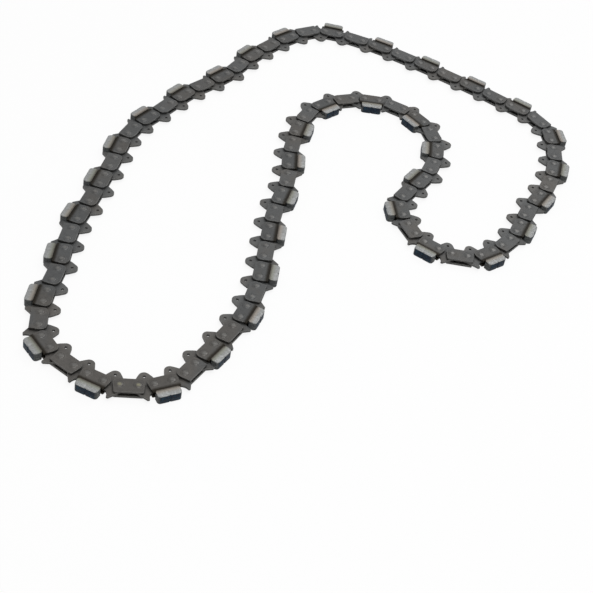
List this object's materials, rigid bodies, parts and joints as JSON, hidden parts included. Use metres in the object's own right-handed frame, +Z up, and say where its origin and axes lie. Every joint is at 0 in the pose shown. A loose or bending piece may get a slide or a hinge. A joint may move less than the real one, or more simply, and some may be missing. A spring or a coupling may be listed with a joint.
{
  "type": "diamond saw chain",
  "caption": "Closed loop of concrete-cutting saw chain: drive links with tangs, riveted tie straps and welded diamond segments, lying on its side.",
  "frame": {"origin": "on the floor plane the chain lies on, under the middle of its bounding box", "axes": "+Z up, along every rivet; +Y from the near bend to the far bend, the loop's longest extent; +X to the right"},
  "size_m": [0.3188, 0.415, 0.0058],
  "materials": {
    "drive_link_steel": "dark oxide, satin",
    "strap_steel": "dark oxide, satin",
    "rivet_steel": "dark oxide, worn heads",
    "segment_matrix": "sintered matrix, matt",
    "run_steel": "dark oxide, satin"
  },
  "bodies": {
    "plain_1": {"plain_1_upper_strap": "strap_steel", "plain_1_lower_strap": "strap_steel", "plain_1_first_rivet": "rivet_steel", "plain_1_second_rivet": "rivet_steel"},
    "drive_link_1": {"drive_link_1": "drive_link_steel"},
    "cutter_1": {"cutter_1_upper_strap": "strap_steel", "cutter_1_lower_strap": "strap_steel", "cutter_1_first_rivet": "rivet_steel", "cutter_1_second_rivet": "rivet_steel", "cutter_1_segment": "segment_matrix"},
    "drive_link_2": {"drive_link_2": "drive_link_steel"},
    "plain_2": {"plain_2_upper_strap": "strap_steel", "plain_2_lower_strap": "strap_steel", "plain_2_first_rivet": "rivet_steel", "plain_2_second_rivet": "rivet_steel"},
    "drive_link_3": {"drive_link_3": "drive_link_steel"},
    "cutter_2": {"cutter_2_upper_strap": "strap_steel", "cutter_2_lower_strap": "strap_steel", "cutter_2_first_rivet": "rivet_steel", "cutter_2_second_rivet": "rivet_steel", "cutter_2_segment": "segment_matrix"},
    "drive_link_4": {"drive_link_4": "drive_link_steel"},
    "run_01_plain": {"run_01_plain": "run_steel"},
    "run_01_cutter": {"run_01_cutter": "run_steel"},
    "run_02": {"run_02": "run_steel"},
    "run_03": {"run_03": "run_steel"},
    "run_04": {"run_04": "run_steel"},
    "run_05": {"run_05": "run_steel"},
    "run_06": {"run_06": "run_steel"},
    "run_07": {"run_07": "run_steel"},
    "run_08": {"run_08": "run_steel"},
    "run_09": {"run_09": "run_steel"},
    "run_10": {"run_10": "run_steel"},
    "run_11": {"run_11": "run_steel"},
    "run_12": {"run_12": "run_steel"},
    "run_13": {"run_13": "run_steel"},
    "run_14": {"run_14": "run_steel"},
    "run_15": {"run_15": "run_steel"},
    "run_16": {"run_16": "run_steel"},
    "run_17": {"run_17": "run_steel"},
    "run_18": {"run_18": "run_steel"},
    "run_19": {"run_19": "run_steel"},
    "run_20": {"run_20": "run_steel"},
    "run_21": {"run_21": "run_steel"},
    "run_22": {"run_22": "run_steel"},
    "run_23": {"run_23": "run_steel"},
    "run_24": {"run_24": "run_steel"},
    "run_25": {"run_25": "run_steel"},
    "run_26": {"run_26": "run_steel"},
    "run_27": {"run_27": "run_steel"},
    "run_28": {"run_28": "run_steel"},
    "run_29": {"run_29": "run_steel"},
    "run_30": {"run_30": "run_steel"},
    "run_31": {"run_31": "run_steel"},
    "run_32": {"run_32": "run_steel"},
    "run_33": {"run_33": "run_steel"},
    "run_34_plain": {"run_34_plain": "run_steel"},
    "run_34_cutter": {"run_34_cutter": "run_steel"},
    "run_35_plain": {"run_35_plain": "run_steel"},
    "run_35_cutter": {"run_35_cutter": "run_steel"}
  },
  "joints": [
    {"name": "run_30_pivot", "type": "hinge", "parent": "run_29", "child": "run_30", "pos_m": [-0.13346, 0.03507, 0.0029], "axis": [0, 0, 1], "range_deg": [-6, 6]},
    {"name": "run_31_pivot", "type": "hinge", "parent": "run_30", "child": "run_31", "pos_m": [-0.13898, -0.00248, 0.0029], "axis": [0, 0, 1], "range_deg": [-7.12, 7.12]},
    {"name": "run_32_pivot", "type": "hinge", "parent": "run_31", "child": "run_32", "pos_m": [-0.14303, -0.04036, 0.0029], "axis": [0, 0, 1], "range_deg": [-1.73, 1.73]},
    {"name": "run_33_pivot", "type": "hinge", "parent": "run_32", "child": "run_33", "pos_m": [-0.14825, -0.07809, 0.0029], "axis": [0, 0, 1], "range_deg": [-7.06, 7.06]},
    {"name": "run_34_plain_pivot", "type": "hinge", "parent": "run_33", "child": "run_34_plain", "pos_m": [-0.14735, -0.11616, 0.0029], "axis": [0, 0, 1], "range_deg": [-6.89, 6.89]},
    {"name": "run_34_cutter_pivot", "type": "hinge", "parent": "run_34_plain", "child": "run_34_cutter", "pos_m": [-0.14856, -0.13518, 0.0029], "axis": [0, 0, 1], "range_deg": [-6.9, 6.9]},
    {"name": "run_35_plain_pivot", "type": "hinge", "parent": "run_34_cutter", "child": "run_35_plain", "pos_m": [-0.14753, -0.15418, 0.0029], "axis": [0, 0, 1], "range_deg": [-1.75, 1.75]},
    {"name": "run_35_cutter_pivot", "type": "hinge", "parent": "run_35_plain", "child": "run_35_cutter", "pos_m": [-0.1424, -0.17237, 0.0029], "axis": [0, 0, 1], "range_deg": [-2.02, 2.02]},
    {"name": "plain_1_pivot", "type": "hinge", "parent": "run_35_cutter", "child": "plain_1", "pos_m": [-0.12834, -0.18505, 0.0029], "axis": [0, 0, 1], "range_deg": [-2.48, 2.48]},
    {"name": "drive_link_1_pivot", "type": "hinge", "parent": "plain_1", "child": "drive_link_1", "pos_m": [-0.11964, -0.19018, 0.0029], "axis": [0, 0, 1], "range_deg": [-3.49, 3.49]},
    {"name": "cutter_1_pivot", "type": "hinge", "parent": "drive_link_1", "child": "cutter_1", "pos_m": [-0.11153, -0.19398, 0.0029], "axis": [0, 0, 1], "range_deg": [-1.79, 1.79]},
    {"name": "drive_link_2_pivot", "type": "hinge", "parent": "cutter_1", "child": "drive_link_2", "pos_m": [-0.10191, -0.19705, 0.0029], "axis": [0, 0, 1], "range_deg": [-2.73, 2.73]},
    {"name": "plain_2_pivot", "type": "hinge", "parent": "drive_link_2", "child": "plain_2", "pos_m": [-0.09298, -0.19762, 0.0029], "axis": [0, 0, 1], "range_deg": [-3.5, 3.5]},
    {"name": "drive_link_3_pivot", "type": "hinge", "parent": "plain_2", "child": "drive_link_3", "pos_m": [-0.08304, -0.1958, 0.0029], "axis": [0, 0, 1], "range_deg": [-2.77, 2.77]},
    {"name": "cutter_2_pivot", "type": "hinge", "parent": "drive_link_3", "child": "cutter_2", "pos_m": [-0.0747, -0.19255, 0.0029], "axis": [0, 0, 1], "range_deg": [-1.78, 1.78]},
    {"name": "drive_link_4_pivot", "type": "hinge", "parent": "cutter_2", "child": "drive_link_4", "pos_m": [-0.06611, -0.18723, 0.0029], "axis": [0, 0, 1], "range_deg": [-3.69, 3.69]},
    {"name": "run_28_pivot", "type": "hinge", "parent": "run_29", "child": "run_28", "pos_m": [-0.11612, 0.06898, 0.0029], "axis": [0, 0, 1], "range_deg": [-0.85, 0.85]},
    {"name": "run_27_pivot", "type": "hinge", "parent": "run_28", "child": "run_27", "pos_m": [-0.09597, 0.1012, 0.0029], "axis": [0, 0, 1], "range_deg": [-0.83, 0.83]},
    {"name": "run_26_pivot", "type": "hinge", "parent": "run_27", "child": "run_26", "pos_m": [-0.07679, 0.13388, 0.0029], "axis": [0, 0, 1], "range_deg": [-2.31, 2.31]},
    {"name": "run_25_pivot", "type": "hinge", "parent": "run_26", "child": "run_25", "pos_m": [-0.05838, 0.16716, 0.0029], "axis": [0, 0, 1], "range_deg": [-3.13, 3.13]},
    {"name": "run_24_pivot", "type": "hinge", "parent": "run_25", "child": "run_24", "pos_m": [-0.03199, 0.19431, 0.0029], "axis": [0, 0, 1], "range_deg": [-0.79, 0.79]},
    {"name": "run_23_pivot", "type": "hinge", "parent": "run_24", "child": "run_23", "pos_m": [0.00541, 0.19256, 0.0029], "axis": [0, 0, 1], "range_deg": [-0.79, 0.79]},
    {"name": "run_22_pivot", "type": "hinge", "parent": "run_23", "child": "run_22", "pos_m": [0.04143, 0.18031, 0.0029], "axis": [0, 0, 1], "range_deg": [-0.77, 0.77]},
    {"name": "run_21_pivot", "type": "hinge", "parent": "run_22", "child": "run_21", "pos_m": [0.07631, 0.165, 0.0029], "axis": [0, 0, 1], "range_deg": [-0.8, 0.8]},
    {"name": "run_20_pivot", "type": "hinge", "parent": "run_21", "child": "run_20", "pos_m": [0.11035, 0.1479, 0.0029], "axis": [0, 0, 1], "range_deg": [-0.74, 0.74]},
    {"name": "run_19_pivot", "type": "hinge", "parent": "run_20", "child": "run_19", "pos_m": [0.14137, 0.12649, 0.0029], "axis": [0, 0, 1], "range_deg": [-3.1, 3.1]},
    {"name": "run_18_pivot", "type": "hinge", "parent": "run_19", "child": "run_18", "pos_m": [0.14902, 0.08956, 0.0029], "axis": [0, 0, 1], "range_deg": [-3, 3]},
    {"name": "run_17_pivot", "type": "hinge", "parent": "run_18", "child": "run_17", "pos_m": [0.1427, 0.05214, 0.0029], "axis": [0, 0, 1], "range_deg": [-0.91, 0.91]},
    {"name": "run_16_pivot", "type": "hinge", "parent": "run_17", "child": "run_16", "pos_m": [0.12813, 0.017, 0.0029], "axis": [0, 0, 1], "range_deg": [-0.75, 0.75]},
    {"name": "run_15_pivot", "type": "hinge", "parent": "run_16", "child": "run_15", "pos_m": [0.11367, -0.0179, 0.0029], "axis": [0, 0, 1], "range_deg": [-0.75, 0.75]},
    {"name": "run_14_pivot", "type": "hinge", "parent": "run_15", "child": "run_14", "pos_m": [0.08232, -0.03553, 0.0029], "axis": [0, 0, 1], "range_deg": [-0.75, 0.75]},
    {"name": "run_13_pivot", "type": "hinge", "parent": "run_14", "child": "run_13", "pos_m": [0.05309, -0.01391, 0.0029], "axis": [0, 0, 1], "range_deg": [-1.26, 1.26]},
    {"name": "run_12_pivot", "type": "hinge", "parent": "run_13", "child": "run_12", "pos_m": [0.05216, 0.02209, 0.0029], "axis": [0, 0, 1], "range_deg": [-1.03, 1.03]},
    {"name": "run_11_pivot", "type": "hinge", "parent": "run_12", "child": "run_11", "pos_m": [0.06646, 0.05707, 0.0029], "axis": [0, 0, 1], "range_deg": [-1.78, 1.78]},
    {"name": "run_10_pivot", "type": "hinge", "parent": "run_11", "child": "run_10", "pos_m": [0.06164, 0.09402, 0.0029], "axis": [0, 0, 1], "range_deg": [-1.14, 1.14]},
    {"name": "run_09_pivot", "type": "hinge", "parent": "run_10", "child": "run_09", "pos_m": [0.0324, 0.11681, 0.0029], "axis": [0, 0, 1], "range_deg": [-0.75, 0.75]},
    {"name": "run_08_pivot", "type": "hinge", "parent": "run_09", "child": "run_08", "pos_m": [-0.00419, 0.11051, 0.0029], "axis": [0, 0, 1], "range_deg": [-0.75, 0.75]},
    {"name": "run_07_pivot", "type": "hinge", "parent": "run_08", "child": "run_07", "pos_m": [-0.02633, 0.08046, 0.0029], "axis": [0, 0, 1], "range_deg": [-1.48, 1.48]},
    {"name": "run_06_pivot", "type": "hinge", "parent": "run_07", "child": "run_06", "pos_m": [-0.03032, 0.04263, 0.0029], "axis": [0, 0, 1], "range_deg": [-2.5, 2.5]},
    {"name": "run_05_pivot", "type": "hinge", "parent": "run_06", "child": "run_05", "pos_m": [-0.02845, 0.00461, 0.0029], "axis": [0, 0, 1], "range_deg": [-7.24, 7.24]},
    {"name": "run_04_pivot", "type": "hinge", "parent": "run_05", "child": "run_04", "pos_m": [-0.03249, -0.03325, 0.0029], "axis": [0, 0, 1], "range_deg": [-7.29, 7.29]},
    {"name": "run_03_pivot", "type": "hinge", "parent": "run_04", "child": "run_03", "pos_m": [-0.03206, -0.07134, 0.0029], "axis": [0, 0, 1], "range_deg": [-4.97, 4.97]},
    {"name": "run_02_pivot", "type": "hinge", "parent": "run_03", "child": "run_02", "pos_m": [-0.03368, -0.10934, 0.0029], "axis": [0, 0, 1], "range_deg": [-7.02, 7.02]},
    {"name": "run_01_cutter_pivot", "type": "hinge", "parent": "run_02", "child": "run_01_cutter", "pos_m": [-0.04468, -0.14568, 0.0029], "axis": [0, 0, 1], "range_deg": [-3.77, 3.77]},
    {"name": "run_01_plain_pivot", "type": "hinge", "parent": "run_01_cutter", "child": "run_01_plain", "pos_m": [-0.05283, -0.1629, 0.0029], "axis": [0, 0, 1], "range_deg": [-2.12, 2.12]}
  ],
  "couplings": [
    {"joint": "run_31_pivot", "follows": "run_30_pivot", "ratio": 1.1859},
    {"joint": "run_32_pivot", "follows": "run_30_pivot", "ratio": -0.2879},
    {"joint": "run_33_pivot", "follows": "run_30_pivot", "ratio": -1.1759},
    {"joint": "run_34_plain_pivot", "follows": "run_30_pivot", "ratio": -1.149},
    {"joint": "run_34_cutter_pivot", "follows": "run_30_pivot", "ratio": 1.1502},
    {"joint": "run_35_plain_pivot", "follows": "run_30_pivot", "ratio": -0.2918},
    {"joint": "run_35_cutter_pivot", "follows": "run_30_pivot", "ratio": -0.3373},
    {"joint": "plain_1_pivot", "follows": "run_30_pivot", "ratio": -0.4138},
    {"joint": "drive_link_1_pivot", "follows": "run_30_pivot", "ratio": -0.5822},
    {"joint": "cutter_1_pivot", "follows": "run_30_pivot", "ratio": 0.2978},
    {"joint": "drive_link_2_pivot", "follows": "run_30_pivot", "ratio": 0.455},
    {"joint": "plain_2_pivot", "follows": "run_30_pivot", "ratio": 0.5831},
    {"joint": "drive_link_3_pivot", "follows": "run_30_pivot", "ratio": 0.4617},
    {"joint": "cutter_2_pivot", "follows": "run_30_pivot", "ratio": 0.2973},
    {"joint": "drive_link_4_pivot", "follows": "run_30_pivot", "ratio": -0.6142},
    {"joint": "run_01_plain_pivot", "follows": "run_30_pivot", "ratio": 0.3533},
    {"joint": "run_01_cutter_pivot", "follows": "run_30_pivot", "ratio": -0.6285},
    {"joint": "run_02_pivot", "follows": "run_30_pivot", "ratio": -1.1692},
    {"joint": "run_03_pivot", "follows": "run_30_pivot", "ratio": -0.8279},
    {"joint": "run_04_pivot", "follows": "run_30_pivot", "ratio": 1.2155},
    {"joint": "run_05_pivot", "follows": "run_30_pivot", "ratio": 1.2074},
    {"joint": "run_07_pivot", "follows": "run_06_pivot", "ratio": -0.59},
    {"joint": "run_08_pivot", "follows": "run_06_pivot", "ratio": -0.3},
    {"joint": "run_09_pivot", "follows": "run_06_pivot", "ratio": -0.3},
    {"joint": "run_10_pivot", "follows": "run_06_pivot", "ratio": 0.4578},
    {"joint": "run_11_pivot", "follows": "run_06_pivot", "ratio": 0.7113},
    {"joint": "run_12_pivot", "follows": "run_06_pivot", "ratio": -0.4109},
    {"joint": "run_13_pivot", "follows": "run_06_pivot", "ratio": -0.5049},
    {"joint": "run_14_pivot", "follows": "run_06_pivot", "ratio": -0.3},
    {"joint": "run_15_pivot", "follows": "run_06_pivot", "ratio": 0.3},
    {"joint": "run_16_pivot", "follows": "run_06_pivot", "ratio": 0.3},
    {"joint": "run_17_pivot", "follows": "run_06_pivot", "ratio": -0.3633},
    {"joint": "run_19_pivot", "follows": "run_18_pivot", "ratio": -1.0318},
    {"joint": "run_20_pivot", "follows": "run_18_pivot", "ratio": -0.248},
    {"joint": "run_21_pivot", "follows": "run_18_pivot", "ratio": 0.2673},
    {"joint": "run_22_pivot", "follows": "run_18_pivot", "ratio": -0.2553},
    {"joint": "run_23_pivot", "follows": "run_18_pivot", "ratio": 0.2635},
    {"joint": "run_24_pivot", "follows": "run_18_pivot", "ratio": -0.263},
    {"joint": "run_25_pivot", "follows": "run_18_pivot", "ratio": 1.0448},
    {"joint": "run_26_pivot", "follows": "run_18_pivot", "ratio": -0.7703},
    {"joint": "run_27_pivot", "follows": "run_18_pivot", "ratio": 0.2763},
    {"joint": "run_28_pivot", "follows": "run_18_pivot", "ratio": -0.2834}
  ]
}
